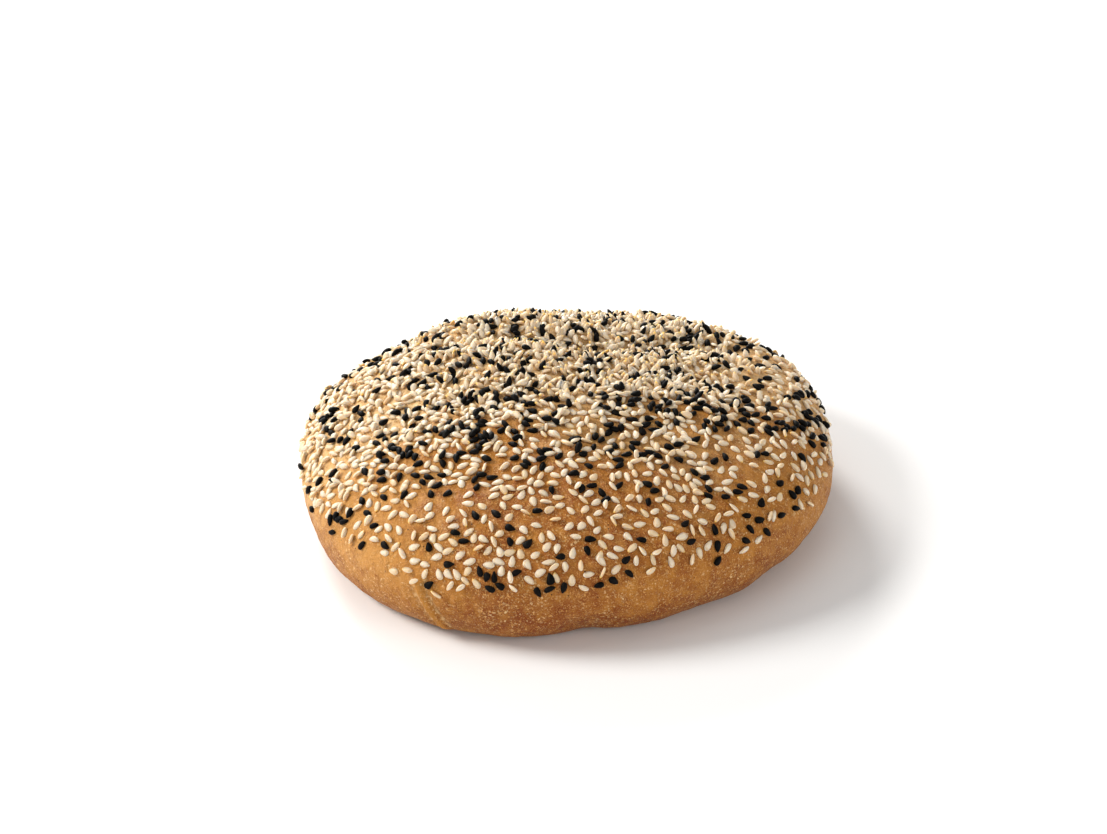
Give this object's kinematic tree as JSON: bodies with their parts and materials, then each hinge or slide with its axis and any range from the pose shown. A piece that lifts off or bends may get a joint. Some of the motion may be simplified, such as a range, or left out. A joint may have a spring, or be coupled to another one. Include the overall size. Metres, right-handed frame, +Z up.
{
  "type": "seeded round bread loaf",
  "caption": "Round uncut loaf with a low uneven dome, a flat foot and pressed grooves, its crust strewn with pale sesame and black nigella seeds; rests on a plate or table.",
  "frame": {"origin": "middle of the flat foot, at the bottom centre of the loaf", "axes": "+Z up, through the crown; +X to the right and +Y to the back, as seen in the picture"},
  "size_m": [0.1538, 0.1531, 0.0489],
  "materials": {
    "crust": "matte baked crust, golden tan, paler in the hollows and browner low on the side",
    "sesame": "hulled sesame seed, cream with toasted edges, faint sheen",
    "nigella": "nigella seed, near black, matte and finely ridged"
  },
  "bodies": {
    "root": {"seeded_loaf": "crust"}
  },
  "joints": []
}
